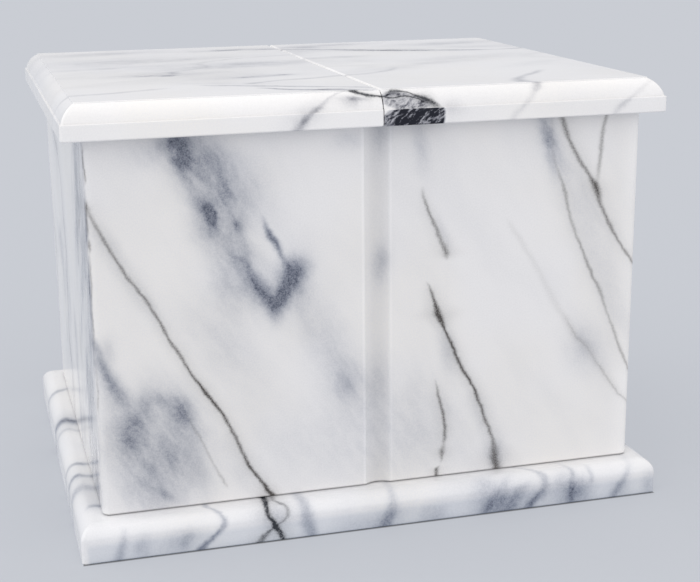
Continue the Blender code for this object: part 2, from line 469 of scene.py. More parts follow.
# A stone: its white, the powers of its clouds' light for red, green and blue, the most cloud, how much
# streaks break clouds up, the veins' colour, how streaks and deep veins are turned, and a shift
Stone = namedtuple("Stone", "tint shade darkest streaked vein_colour bed along seed")
SLATE_BLUE = (1.07, 1.0, 0.84)
NEUTRAL_GREY = (1.02, 1.0, 0.91)
BROWN_BLACK = (0.068, 0.06, 0.055)
BLUE_BLACK = (0.022, 0.025, 0.033)
BODY_STONE = Stone(
    tint=(0.884, 0.872, 0.868), shade=SLATE_BLUE, darkest=0.8, streaked=0.22, vein_colour=BROWN_BLACK,
    bed=(0, 58, 0), along=(0, 62, 20), seed=0,
)
PLINTH_STONE = Stone(
    tint=(0.872, 0.87, 0.882), shade=SLATE_BLUE, darkest=0.85, streaked=0.12, vein_colour=BLUE_BLACK,
    bed=(0, -60, 20), along=(0, 70, 60), seed=40,
)
LEFT_LID_STONE = Stone(
    tint=(0.945, 0.933, 0.927), shade=NEUTRAL_GREY, darkest=1.6, streaked=0.34, vein_colour=BLUE_BLACK,
    bed=(0, 0, -12), along=(0, 0, 15), seed=80,
)
RIGHT_LID_STONE = LEFT_LID_STONE._replace(seed=120)

# How much red, green and blue a warmer white and a greyer grain keep
WARM_SHARES = (1.0, 0.988, 0.955)
GRAIN_SHARES = (0.95, 0.95, 0.95)

# Sizes of the stone's noise, and how long, deep and high some of it is drawn out, in mm
GRAIN_SIZE = 0.8
MOTTLE_SIZE = 1.9
WAVE_SIZE = 22.0
WARMTH_SIZE = 75.0
STREAK_LENGTHS = (13, 9, 5.2)
BROAD_STREAK_LENGTHS = (90, 60, 34)
DEEP_VEIN_LENGTHS = (340, 90, 60)
DEEP_CLOUD_LENGTHS = (130, 62, 50)

# What makes lines waver: the noise's size, how far it moves a point, and its detail
BROAD_WAVER = (16.0, 4.0, 2.0)
FINE_WAVER = (3.0, 1.5, 3.0)

# The body: the depths over which its front's veins end, half its patches' thickness, the width of the
# strip of painted light at its right edge, and the light kept where the body is darkened fully
FRONT_DEPTHS = (3.0, 26.0)
PATCH_DEPTH = 60.0
PAINTED_LIGHT_EDGE_WIDTH = 12.0
BODY_DARKENED_LEVEL = 0.87

# The left side's haze: its turn and lengths, the depths and heights over which it fades, and those over
# which the part near the front corner is clearer
SIDE_HAZE_TURN = (-62, 0, 0)
SIDE_HAZE_LENGTHS = (40, 46, 15)
SIDE_HAZE_DEPTHS = (30.0, 95.0)
SIDE_HAZE_TOP = (150.0, 195.0)
CLEAR_CORNER_DEPTHS = (8.0, 16.0)
CLEAR_CORNER_TOP = (95.0, 125.0)

# The flute's painted shade in its hollow and painted highlights on its lips, in mm from the body's
# middle and its own, and how deep they go
HOLLOW_MIDDLE = 1.9
HOLLOW_HALF_WIDTH = 5.2
FLUTE_LIP_DISTANCE = 7.3
FLUTE_DEPTHS = (4.0, 6.0)

# The plinth: the red, green and blue that its upright sides lose, where that ends up and across, and
# where the front's veins and the left strip's end
UPRIGHT_LOSSES = (0.165, 0.142, 0.112)
UPRIGHT_TOP = (7.5, 11.5)
UPRIGHT_LEFT = (-154, -151)
PLINTH_REACHES = (32.0, 44.0)
LEFT_STRIP_END = (-141, -130)

# Veins on the body's front: a row is (height, place across, width, darkness)
LONG_VEIN = (
    (181, -143, 1.2, 0), (176, -142, 1.3, 0.34), (172, -140.5, 1.3, 0.4), (155, -132.5, 1.1, 0.56),
    (138, -122.5, 1.05, 0.56), (125, -114.5, 1, 0.58), (112, -107.5, 1, 0.62), (100, -100.5, 1, 0.62),
    (88, -94.5, 1, 0.7), (80, -90, 1.15, 0.85), (71, -84, 1.1, 0.85), (60, -78, 1, 0.7),
    (45, -71.5, 1, 0.68), (37, -67.5, 1.1, 0.85), (28, -62, 1.1, 0.8), (22, -58, 1.5, 0.95),
    (17, -54.5, 1.7, 0.95),
)
LONG_VEIN_BRANCH = (
    (72, -101, 0.8, 0), (62, -96, 0.9, 0.18), (50, -90, 0.9, 0.24), (40, -85.5, 0.9, 0.22),
    (31, -81, 0.9, 0.3), (26, -79.5, 0.8, 0),
)
KNOT_VEIN_ABOVE = (
    (177, 25, 0.8, 0), (171, 26, 0.8, 0.36), (162, 29.5, 1.1, 0.55), (155, 32.5, 1.2, 0.55),
    (148, 35.5, 1.3, 0.5), (142, 38, 1.7, 0.6), (137, 38.5, 1.2, 0),
)
KNOT_VEIN = (
    (128, 27, 0.6, 0), (122, 30, 0.9, 0.55), (114, 33, 1.3, 0.8), (109, 34.5, 2.1, 0.95),
    (104.5, 36, 1.4, 0.85), (99, 38, 1, 0.78), (90, 42, 1.1, 0.8), (78, 47, 1.1, 0.8), (63, 55, 1, 0.75),
    (50, 60, 1, 0.65), (41, 63.5, 1, 0.6), (36, 65.5, 1.2, 0.55), (30, 66.5, 2.2, 0.66),
    (25, 67, 2.6, 0.75), (18, 67.5, 2.4, 0.72),
)
KNOT_BRANCH = (
    (75, 32, 0.7, 0), (68, 33, 0.9, 0.4), (58, 35.5, 1.1, 0.64), (48, 37.2, 1.05, 0.64),
    (41, 37.5, 1, 0.58), (37, 37, 1.1, 0.28), (32, 36, 1.4, 0.6), (27.5, 36, 1, 0.3), (25, 35, 0.8, 0.04),
    (22.5, 32.8, 1, 0.7), (17, 32.8, 1, 0.7),
)
RIGHT_VEIN = (
    (213, 98.5, 1.4, 0.6), (200, 103, 1.4, 0.62), (190, 108, 1.3, 0.6), (177, 115.5, 1.3, 0.6),
    (171, 119.5, 2, 0.85), (160, 124, 1.25, 0.6), (147, 130, 1.1, 0.6), (137, 137, 1.1, 0.55),
    (128, 143.5, 1.1, 0.55), (120, 150, 1.1, 0.3), (112, 156, 1.1, 0),
)
RIGHT_FORK = (
    (213, 125.5, 1.3, 0.46), (195, 123, 1.3, 0.5), (181, 121.5, 1.1, 0.42), (175, 120.5, 1, 0.2),
    (169, 120, 1, 0),
)
LOWER_VEIN = (
    (190, 95, 1, 0.08), (180, 98, 1, 0.22), (168, 103, 1.05, 0.46), (152, 107.5, 0.95, 0.36),
    (138, 113.5, 0.95, 0.46), (125, 118.5, 1.1, 0.5), (115, 124, 1.1, 0.44), (100, 130, 0.9, 0.32),
    (90, 133.5, 0.9, 0.38), (78, 138.5, 0.9, 0.42), (68, 144, 0.9, 0.42), (58, 151, 0.9, 0),
)
PALE_BROWN_VEIN = (
    (158, 71, 1.8, 0), (152, 74, 1.8, 0.08), (142, 80, 2, 0.1), (128, 88, 2, 0.09), (113, 97, 2.4, 0.1),
    (100, 105, 2.4, 0.12), (90, 112, 2.8, 0.14), (83, 118, 3, 0.13), (65, 131, 2.4, 0.05),
    (55, 139, 2, 0.02), (48, 145, 2, 0),
)
RIGHT_BROWN_VEIN = (
    (104, 103, 0.8, 0), (92, 110.5, 0.8, 0.14), (80, 120, 0.9, 0.1), (68, 129, 0.9, 0.22),
    (58, 136, 0.9, 0.24), (48, 145, 0.9, 0.2), (40, 152, 0.9, 0),
)
FINE_FRONT_VEINS = (
    (LONG_VEIN, 0.2), (KNOT_VEIN, 0.22), (RIGHT_VEIN, 0.14), (LONG_VEIN_BRANCH, 0.0),
    (KNOT_VEIN_ABOVE, 0.2), (KNOT_BRANCH, 0.2), (RIGHT_FORK, 0.0), (LOWER_VEIN, 0.12),
    (RIGHT_BROWN_VEIN, 0.3), (PALE_BROWN_VEIN, 0.0),
)
SOFT_FRONT_VEINS = (
    ((148, -72, 3, 0), (142, -67, 3.6, 0.26), (136, -62.5, 4.2, 0.34), (130, -58.5, 4.6, 0.36),
     (124, -55, 5, 0.4), (118, -53, 4.2, 0.32), (112, -53, 3, 0.1), (106, -53, 3, 0)),
    ((169, -58, 1, 0), (163, -56, 1.2, 0.3), (157, -53.5, 2, 0.66), (152, -51, 2.1, 0.62),
     (147, -48.5, 1.8, 0.4), (141, -46, 2, 0.1), (136, -45, 2, 0)),
    ((114, -143, 1.6, 0), (106, -141.5, 1.8, 0.32), (98, -139, 2.4, 0.3), (90, -135.5, 3.4, 0.28),
     (82, -131, 4, 0.24), (74, -127, 4, 0)),
)

# How much light each amount of cloud leaves
CLOUD_LEVELS = (
    (0, 1), (0.1, 0.9), (0.25, 0.745), (0.4, 0.593), (0.55, 0.45), (0.7, 0.305), (0.85, 0.165),
    (1, 0.022),
)

# Broad haze on the body's front: centre across, centre height, half length, half width, turn, amount
FRONT_HAZE = (
    (-94, 202, 15, 11, -50, 0.38), (-84, 186, 20, 12, -62, 0.28), (-77, 168, 18, 12, -62, 0.28),
    (-73, 149, 16, 9, -60, 0.26), (-64, 133, 17, 9, -58, 0.24), (-43, 136, 13, 8, 72, 0.24),
    (-66, 184, 20, 10, -60, 0.2), (-112, 202, 13, 7, 0, 0.14), (-77, 130, 15, 8, -65, 0.18),
    (-88, 162, 8, 5, -70, 0.16), (-40, 126, 8, 6, -60, 0.12), (-38, 116, 24, 12, -58, 0.13),
    (-22, 92, 24, 11, -60, 0.13), (-16, 76, 14, 10, -70, 0.18), (-82, 106, 28, 14, -58, 0.13),
    (-112, 44, 32, 18, 88, 0.37), (-126, 66, 16, 8, 65, 0.24), (-101, 68, 17, 8, -60, 0.22),
    (-136, 88, 16, 5, -68, 0.26), (-94, 38, 15, 9, -60, 0.12), (-127, 46, 20, 10, -80, 0.16),
    (22, 60, 40, 14, 85, 0.06), (0, 46, 56, 26, 0, 0.14), (24, 197, 14, 4, -80, 0.16),
    (39, 90, 14, 4.5, -75, 0.2), (58, 52, 15, 4.5, -70, 0.12), (93, 197, 18, 5, -75, 0.34),
    (113, 165, 46, 10, -66, 0.12), (118, 82, 14, 10, -55, 0.18), (67, 27, 10, 5, -88, 0.26),
    (130, 112, 40, 7, -62, 0.1), (-14, 202, 8, 5, 0, 0.14), (-134, 157, 14, 5, -60, 0.12),
    (-117, 128, 20, 5, -60, 0.11), (-137, 103, 8, 4, 80, 0.18), (2.5, 204, 12, 4.6, 88, 0.2),
    (-138, 62, 12, 5, 85, 0.12), (-73, 38, 16, 6, -62, 0.1),
)

# Dark hearts of the haze, given the same way
FRONT_HEARTS = (
    (-98, 206, 8, 3.4, 0, 0.5), (-96, 197, 6, 4, -62, 0.36), (-93, 184, 12, 3, -70, 0.14),
    (-84.5, 171, 6, 3.2, -66, 0.4), (-82.5, 167, 5, 3, -80, 0.3), (-84, 160, 6, 4, -80, 0.16),
    (-76, 185, 12, 4, -76, 0.16), (-70, 163, 6, 3, -66, 0.3), (-80, 199, 10, 4.4, -50, 0.14),
    (-67, 150, 6, 3.4, -60, 0.1), (-60, 131, 8, 4, -50, 0.12), (-50, 124, 8, 5, 75, 0.26),
    (-46, 131, 9, 4.6, 62, 0.36), (-42.5, 140, 7, 5.4, 20, 0.4), (-37, 137, 5, 4, 60, 0.16),
    (-127, 60, 9, 6, 72, 0.16), (-123, 71, 8, 3.6, 52, 0.16), (-101, 70, 8, 4.2, -62, 0.28),
    (-112, 45, 8, 5, 0, 0.1), (-110, 26, 8, 2.2, -38, 0.22), (-112, 78, 10, 4, 0, 0.14),
    (-15, 77, 9, 6, -70, 0.1), (1, 74, 14, 5, 88, 0.16), (3, 138, 10, 4, 85, 0.3),
    (116, 86, 9, 3.4, -55, 0.1), (37, 150, 9, 2.4, -70, 0.14), (93, 194, 10, 2.4, -78, 0.12),
)

# Short dark marks down the left front corner: a row is (height, across minus depth, width, darkness)
CORNER_MARKS = (
    (206, -24, 0.8, 0), (200, -24, 0.9, 0.39), (192, -23.6, 0.9, 0.41), (187, -23.5, 0.8, 0),
    (180, -23.6, 0.8, 0.06), (176, -23.8, 0.9, 0.33), (166, -23.8, 0.9, 0.33), (162, -23.8, 0.8, 0.06),
    (157, -23.8, 1.2, 0.47), (153, -23.8, 0.8, 0.08), (145, -24, 0.9, 0.28), (135, -24, 0.9, 0.3),
    (128, -24, 0.9, 0.11), (122, -24, 0.8, 0.28), (112, -24, 0.8, 0.19), (104, -24, 0.8, 0),
    (90, -23.6, 0.9, 0.17), (80, -23.6, 0.9, 0.25), (72, -23.6, 0.8, 0),
)

# Veins on the lids. Reach is the way up the front edge, over the moulding and back across the top.
# A row is (place across, reach, width, darkness)
LID_DARK_VEIN = (
    (-34, 26.6, 0.7, 0), (-22, 26.2, 0.8, 0.36), (-15, 25.4, 0.9, 0.6), (-11.5, 24.6, 2.1, 1),
    (-8.5, 22.4, 1.5, 0.9), (-5.5, 20, 1.8, 0.95), (-2, 18.9, 1.3, 0.95), (1.7, 18.3, 0.8, 0.95),
    (7, 16.9, 0.6, 0.9), (11, 17.9, 0.6, 0.85), (16, 17.2, 0.6, 0.85), (19.5, 15.6, 0.8, 0.8),
    (22, 13, 0.8, 0.5), (25, 10, 0.8, 0),
)
LID_LENS_EDGE = (
    (2, 20.5, 0.9, 0), (5, 21.4, 1, 0.6), (8, 22.8, 1.5, 0.85), (11, 22.4, 1.1, 0.8),
    (15, 20.8, 0.8, 0.8), (19, 18.4, 1.2, 0.85), (22.5, 15.6, 2.2, 0.95), (26, 12.4, 2.8, 0.95),
    (29, 10.2, 1.8, 0.6), (31.5, 8.8, 1, 0),
)
LID_FRONT_LEFT_VEIN = (
    (-82, 72, 1.6, 0), (-72, 67, 2, 0.3), (-57, 60, 2.2, 0.42), (-45, 55, 2.4, 0.5), (-33, 49, 2.2, 0.42),
    (-15, 41, 2, 0.36), (0, 34, 1.8, 0.32), (6, 31, 1.6, 0),
)
LID_CORNER_VEIN = (
    (-56, 51, 1.6, 0), (-50, 46.5, 2.2, 0.6), (-42, 40, 2.6, 0.7), (-34, 36, 2.6, 0.7),
    (-26, 32.5, 2.4, 0.85), (-18, 30.5, 2.2, 0.75), (-10, 28, 1.6, 0.5), (-2, 26, 1.2, 0.2),
)
LID_SOFT_VEIN = (
    (-58, 68, 2.2, 0), (-50, 71, 2.4, 0.3), (-35, 77, 2.4, 0.3), (-12, 84, 2.4, 0.24), (2, 88, 2.4, 0.22),
    (14, 91, 2.4, 0.18), (26, 98, 2.6, 0.18), (34, 106, 3, 0.2), (40, 114, 3, 0),
)
LID_EDGE_VEIN = (
    (-152, 46, 2, 0.14), (-140, 50, 2.6, 0.2), (-120, 55, 2.6, 0.22), (-105, 61, 2.6, 0.2),
    (-92, 66, 2, 0),
)
LID_FAR_BAND = (
    (-2, 240, 3.4, 0.36), (10, 236, 3.2, 0.42), (22, 230, 3, 0.42), (35, 224, 3.2, 0.46),
    (45, 219, 3.6, 0.64), (56, 212, 3.4, 0.74), (66, 208, 3.2, 0.86), (80, 203, 2.8, 0.66),
    (100, 197, 2.8, 0.6), (116, 193, 2.8, 0.5), (128, 190.5, 2.4, 0.26), (140, 192, 2.6, 0.4),
    (152, 197, 2.6, 0.34),
)

# Veins that cross the lids' front edge: a row is (reach, place across, width, darkness)
LID_LEFT_STREAK = (
    (-1, -43.5, 2.2, 0.3), (3.6, -39.5, 2.6, 0.46), (7.5, -36, 2.2, 0.3), (11.3, -31.7, 2.4, 0.42),
    (16, -27.5, 2, 0.16), (21, -21.5, 1.4, 0.2), (26, -16, 1, 0),
)
LID_LILAC_VEIN = (
    (-1, 67.5, 2.2, 0.1), (4, 71.5, 2.2, 0.14), (10, 77.5, 2.4, 0.14), (15, 81, 2.4, 0.18),
    (20, 83.5, 2.6, 0.34), (25, 84, 2.4, 0.3), (31, 78.5, 3.6, 0.42), (38, 79.5, 3.4, 0.4),
    (46, 84, 2.8, 0.34), (59, 94, 2.8, 0.34), (70, 104, 2.6, 0.3), (78, 110, 2.6, 0),
)
LID_ROSE_VEIN = (
    (-1, 124, 2, 0.14), (5, 128.5, 2.4, 0.24), (11, 136, 2.2, 0.12), (17, 142, 2, 0.1), (26, 150, 2, 0),
)

LEFT_LID_HAZE = (
    (-43, 99, 20, 6, 6, 0.26), (-95, 121, 24, 8, 6, 0.28), (-16, 15.5, 6, 3.2, -10, 0.34),
    (-35, 160, 34, 12, 12, 0.2), (-110, 200, 36, 16, 15, 0.22), (-30, 247, 30, 7, 4, 0.3),
    (-105, 250, 40, 10, 8, 0.26), (-60, 200, 26, 7, 14, 0.2), (-120, 165, 26, 5, 12, 0.16),
    (-38, 8, 12, 6, 40, 0.14), (-70, 75, 26, 6, -20, 0.12),
)
LEFT_LID_HEARTS = (
    (-28, 101, 5, 2.6, 0, 0.4), (-50, 97, 8, 2.4, 0, 0.24), (-88, 118, 5, 3, 40, 0.42),
    (-83, 130, 3, 4, 0, 0.4), (-98, 122, 8, 2.5, 0, 0.2), (-31, 245.5, 8, 2.6, 0, 0.55),
    (-6, 243, 9, 3.4, 0, 0.5), (-13.5, 18, 2.8, 1.7, -20, 0.46), (-9, 17.4, 4, 1.5, -20, 0.24),
    (-24, 34, 3.4, 2.4, 0, 0.5), (-8, 22, 4, 1.6, -30, 0.3),
)
RIGHT_LID_HAZE = (
    (30, 108, 22, 8, 20, 0.14), (20, 180, 20, 6, 0, 0.22), (90, 150, 40, 12, 12, 0.14),
    (110, 240, 36, 10, 8, 0.26), (40, 255, 30, 8, 6, 0.26), (15, 247, 16, 6, -12, 0.34),
    (66, 210, 34, 9, -22, 0.26), (120, 110, 26, 7, 30, 0.1), (120, 212, 26, 7, -15, 0.14),
    (62, 128, 30, 7, 15, 0.12), (36, 6, 6, 6, 0, 0.16),
)
RIGHT_LID_HEARTS = (
    (9, 21.6, 4, 1.8, -6, 0.5), (24, 14, 4.5, 2.4, -52, 0.4), (5, 19.5, 3, 1.2, 20, 0.3),
)

# Each lid's marks: fine veins and soft ones across it, veins up its front edge, haze and dark hearts
LidMarks = namedtuple("LidMarks", "fine soft crossings haze hearts")
LEFT_LID_MARKS = LidMarks(
    fine=(LID_DARK_VEIN,), soft=(LID_FRONT_LEFT_VEIN, LID_CORNER_VEIN, LID_SOFT_VEIN, LID_EDGE_VEIN),
    crossings=(LID_LEFT_STREAK,), haze=LEFT_LID_HAZE, hearts=LEFT_LID_HEARTS,
)
RIGHT_LID_MARKS = LidMarks(
    fine=(LID_DARK_VEIN, LID_LENS_EDGE), soft=(LID_SOFT_VEIN, LID_FAR_BAND),
    crossings=(LID_LILAC_VEIN, LID_ROSE_VEIN), haze=RIGHT_LID_HAZE, hearts=RIGHT_LID_HEARTS,
)

# The right lid's black patch: the middle, half height and place of its rounded right end, and where it
# stops up the rim. The lens above it is a row of haze
PATCH_MIDDLE = 4.2
PATCH_HALF_HEIGHT = 5.2
PATCH_RIGHT_END = (31.8, 33.8)
PATCH_TOP = (7.8, 8.6)
LENS_OVAL = (12.5, 14.2, 14, 6.6, -15, 1.0)

# The lids: where the ledge, moulding, top, deep veins and joint's edge are, and the light kept where a
# lid is darkened fully
LEDGE_REACH = 8.8
MOULDING_START = (8.4, 9.4)
MOULDING_END = (23.0, 25.0)
TOP_START = (22.0, 26.0)
LID_DEEP_START = (30.0, 120.0)
JOINT_EDGE = (0.5, 1.3)
LID_DARKENED_LEVEL = 0.95

# Veins round the plinth's front edge: a row is (reach, place across, width, darkness)
PLINTH_BLACK_VEINS = (
    ((-1, -53.5, 1.6, 0.85), (4.6, -54.7, 1.5, 0.9), (9, -57, 1.5, 0.95), (14, -60, 1.6, 0.95),
     (20.7, -61.5, 1.5, 0.95), (31, -61, 2, 0.95)),
    ((-1, -67.5, 2, 0.7), (4.6, -62, 1.9, 0.6), (8, -58, 1.2, 0.5), (10, -56, 1, 0)),
    ((8, -57, 1, 0), (10.5, -53.5, 1.3, 0.4), (14.2, -51, 1.3, 0.4), (18, -51, 1.2, 0.42),
     (23, -54, 1.2, 0.5), (26, -57, 1.1, 0.3)),
)
PLINTH_SOFT_VEINS = (
    ((-1, -97, 2.4, 0.6), (6, -90, 2.2, 0.56), (11, -85.5, 1.9, 0.44), (15, -84, 1.8, 0.36),
     (22, -86, 1.7, 0.3), (28, -91, 1.6, 0.3)),
    ((-1, 79, 3.4, 0.5), (4, 84.5, 3.2, 0.48), (8, 88.5, 2.8, 0.38), (13, 91, 2.4, 0.27),
     (20, 90, 2.2, 0.25), (26, 84.5, 2, 0.2), (32, 76, 2, 0.12)),
    ((-1, 129.5, 3.2, 0.32), (5, 133.5, 3, 0.3), (12, 138, 2.6, 0.2), (20, 141, 2.2, 0.08)),
    ((-1, -39, 3.6, 0.44), (10, -41, 3.4, 0.42), (19, -42, 3, 0.34), (28, -44, 2.6, 0.25)),
    ((-1, -139, 3.4, 0.34), (5, -136.5, 3, 0.28), (11, -134.5, 2.4, 0.2), (20, -134, 2, 0)),
    ((-1, -1, 3.6, 0.32), (5, 2.5, 3.4, 0.3), (12, 4.5, 2.8, 0.24), (25, 5, 2.2, 0.14)),
    ((12, 105.5, 2, 0.2), (17, 107.5, 1.8, 0.22), (24, 105, 1.8, 0.14), (30, 100, 1.8, 0)),
    ((8, 117.5, 1.7, 0), (13, 118, 1.6, 0.2), (20, 117, 1.6, 0.16), (27, 116, 1.6, 0)),
    ((-1, 68, 5, 0.2), (5, 72, 4.6, 0.2), (11, 76.5, 3.6, 0.14), (16, 80, 3, 0)),
    ((-1, 55, 5, 0.18), (5, 60, 5, 0.2), (12, 65, 4.2, 0.16), (20, 69, 4, 0.1), (28, 72, 4, 0)),
)
PLINTH_HAZE = (
    (-104, 6, 8, 6, 0, 0.22), (-126, 6, 7, 4, 80, 0.2), (-118, 5, 24, 7, 0, 0.1),
    (-58, 14, 10, 8, 0, 0.24), (2, 4, 10, 7, 0, 0.2), (27, 3, 9, 7, 0, 0.28), (-14, 3, 12, 5, 0, 0.16),
    (64, 5, 15, 9, 0, 0.4), (57, 17, 8, 7, 0, 0.2), (108, 5.5, 11, 9, 0, 0.4), (86, 8, 10, 9, 0, 0.16),
    (134, 4, 8, 7, 0, 0.2), (152, 5, 5, 7, 0, 0.24), (40, 20, 40, 6, 0, 0.05), (74, 6, 10, 6, 0, 0.12),
    (100, 14, 7, 6, 0, 0.12),
)
PLINTH_HEARTS = (
    (3, 5, 6, 4, 60, 0.16), (57, 4, 7, 4, 80, 0.1), (65, 3, 7, 4, 70, 0.08), (108, 5, 8, 6, 60, 0.14),
    (-104, 5, 5, 2.6, 80, 0.1),
)

# Veins across the plinth's left strip: a row is (place across, place front to back, width, darkness)
PLINTH_LEFT_VEINS = (
    ((-158, 78, 2.8, 0.22), (-151, 82, 2.6, 0.3), (-142, 87, 2.4, 0.24)),
    ((-158, 24, 3.6, 0.4), (-151, 28, 4.2, 0.56), (-146, 25, 4.6, 0.6), (-142, 21, 4.6, 0.4)),
    ((-158, 8, 2.6, 0.12), (-151, 12, 2.6, 0.16), (-142, 6, 2.6, 0.14)),
    ((-158, -48, 2.2, 0.24), (-151, -44, 2.2, 0.32), (-146, -45.5, 2.4, 0.44), (-142, -46.5, 2, 0.2)),
    ((-158, -68, 2.8, 0.3), (-151, -61, 2.6, 0.4), (-145, -63, 2.4, 0.3), (-142, -64.5, 2.6, 0.46)),
    ((-158, -86, 4.6, 0.24), (-151, -79, 4.8, 0.28), (-142, -82, 4.4, 0.24)),
    ((-152, -108, 2.2, 0), (-147, -104.5, 2, 0.26), (-142, -106, 2.2, 0.44)),
)


def warped(graph, point, size, amount, detail):
    """The point moved about by noise, which makes straight lines waver."""
    push = graph.noise(point, size, detail, colour=True)
    centred = graph.vector("SUBTRACT", push, (0.5, 0.5, 0.5))
    return graph.vector("ADD", point, graph.scaled(centred, amount))


def deep_pattern(graph, point, along, seed):
    """Veins and haze all through the stone, for the sides that the photograph doesn't show."""
    shifted = graph.vector("ADD", point, (seed, 2 * seed, 3 * seed))
    drawn_out = graph.placed(shifted, turn=along, lengths=DEEP_VEIN_LENGTHS)
    first, second, shown = graph.split(graph.noise(drawn_out, 1.0, 1.2, 0.4, colour=True))
    first = graph.distance(first, 0.47)
    second = graph.distance(second, 0.56)
    shown = graph.step(shown, 0.42, 0.56)
    fine = graph.times(graph.fall(first, 0.0, 0.011), shown)
    faint = graph.step(second, 0.0, 0.022, 0.4, 0.0)
    faint = graph.times(faint, graph.minus(1.0, shown))
    clouded = graph.noise(graph.placed(shifted, turn=along, lengths=DEEP_CLOUD_LENGTHS), 1.0, 3.0, 0.5)
    haze = graph.step(clouded, 0.52, 0.74, 0.0, 0.42)
    beside = graph.times(graph.step(first, 0.0, 0.09, 0.16, 0.0), shown)
    return graph.plus(fine, faint), graph.plus(haze, beside)


def cloud_colours(shade):
    """The stops of a ramp that darkens the white, with a power of its own for red, green and blue."""
    return [(at, [level ** power for power in shade]) for at, level in CLOUD_LEVELS]


def shaded(colour, shares=(1.0, 1.0, 1.0)):
    """An opaque colour, with each of its parts made less by a share of its own."""
    return [part * share for part, share in zip(colour, shares)] + [1.0]


def marble(name, stone, pattern):
    """Polished white marble. The pattern gives the veins, haze and dark hearts of this piece, and its
    painted light and shade.
    """
    material = bpy.data.materials.new(name)
    material.use_nodes = True
    graph = Graph(material.node_tree)
    point = graph.scaled(graph.add("TexCoord").outputs["Object"], 1 / MM)
    wavy = warped(graph, warped(graph, point, *BROAD_WAVER), *FINE_WAVER)
    grain = graph.noise(point, GRAIN_SIZE, 3.0, 0.65)
    streaks, broad_streaks = [
        graph.noise(graph.placed(wavy, turn=stone.bed, lengths=lengths), 1.0, 3.0, 0.55)
        for lengths in (STREAK_LENGTHS, BROAD_STREAK_LENGTHS)
    ]
    fine, haze, hearts, deep, tone_and_painted_light = pattern(graph, point, wavy)
    deep_fine, deep_haze = deep_pattern(graph, wavy, stone.along, stone.seed)
    fine = graph.onto(fine, graph.times(deep_fine, 0.55), deep)
    haze = graph.onto(haze, deep_haze, deep)
    haze = graph.times(haze, graph.step(streaks, 0.3, 0.7, 1 - stone.streaked, 1 + stone.streaked))
    haze = graph.plus(haze, graph.step(broad_streaks, 0.4, 0.7, 0.0, 0.045))
    lightest = 1 - 0.65 * stone.streaked
    darkest = 1 + 0.6 * stone.streaked
    hearts = graph.times(hearts, graph.step(streaks, 0.3, 0.7, lightest, darkest))
    speckle = graph.step(grain, 0.28, 0.72, 0.87, 1.13)
    cloud = graph.math("MINIMUM", graph.plus(haze, hearts), stone.darkest)
    mottle = graph.step(graph.noise(point, MOTTLE_SIZE), 0.3, 0.7, 0.93, 1.07)
    cloud = graph.times(cloud, graph.times(speckle, mottle), clamp=True)
    fine = graph.times(fine, graph.step(grain, 0.3, 0.7, 0.72, 1.16), clamp=True)
    warm = graph.step(graph.noise(point, WARMTH_SIZE), 0.4, 0.64)
    white = graph.mix(warm, shaded(stone.tint), shaded(stone.tint, WARM_SHARES))
    white = graph.mix(graph.step(grain, 0.3, 0.75), white, shaded(stone.tint, GRAIN_SHARES))
    # The pattern's last part darkens or lightens the white: painted shade and highlights, and some darker
    # tone
    white = graph.vector("MULTIPLY", white, tone_and_painted_light)
    colour = graph.vector("MULTIPLY", white, graph.ramp(cloud, cloud_colours(stone.shade)))
    colour = graph.mix(fine, colour, shaded(stone.vein_colour))
    wave = graph.noise(point, WAVE_SIZE)
    bump = graph.add("Bump", {"Strength": 0.06, "Distance": 0.0006, "Height": wave})
    shader = material.node_tree.nodes["Principled BSDF"]
    graph.plug(shader.inputs["Base Color"], colour)
    graph.plug(shader.inputs["Roughness"], graph.step(grain, 0.2, 0.8, 0.09, 0.17))
    graph.plug(shader.inputs["Specular IOR Level"], graph.step(cloud, 0.7, 1.0, 0.5, 0.12))
    graph.plug(shader.inputs["Normal"], bump.outputs["Normal"])
    shader.inputs["IOR"].default_value = 1.5
    return material


def grey_share(graph, amount, low):
    """A grey to multiply by: 1 where amount is 0, and low where it is 1."""
    level = graph.onto(1.0, amount, low - 1.0)
    return graph.joined(level, level, level)


def flute_painted_light(graph, point, depth):
    """Painted shade in the flute's hollow, darkest near its middle, between painted highlights on its two
    eased edges.
    """
    x = graph.split(point)[0]
    hollow = graph.math("DIVIDE", graph.distance(x, HOLLOW_MIDDLE), HOLLOW_HALF_WIDTH)
    near = graph.fall(depth, *FLUTE_DEPTHS)
    # Painted shade in the hollow
    darkening = graph.times(graph.bell(graph.math("POWER", hollow, 3.0)), near)
    # Painted highlights along the flute's two eased edges
    pale = graph.line(graph.distance(x, FLUTE_CENTRE / MM), FLUTE_LIP_DISTANCE, 0.65)
    return graph.onto(darkening, graph.times(pale, near), -0.5)


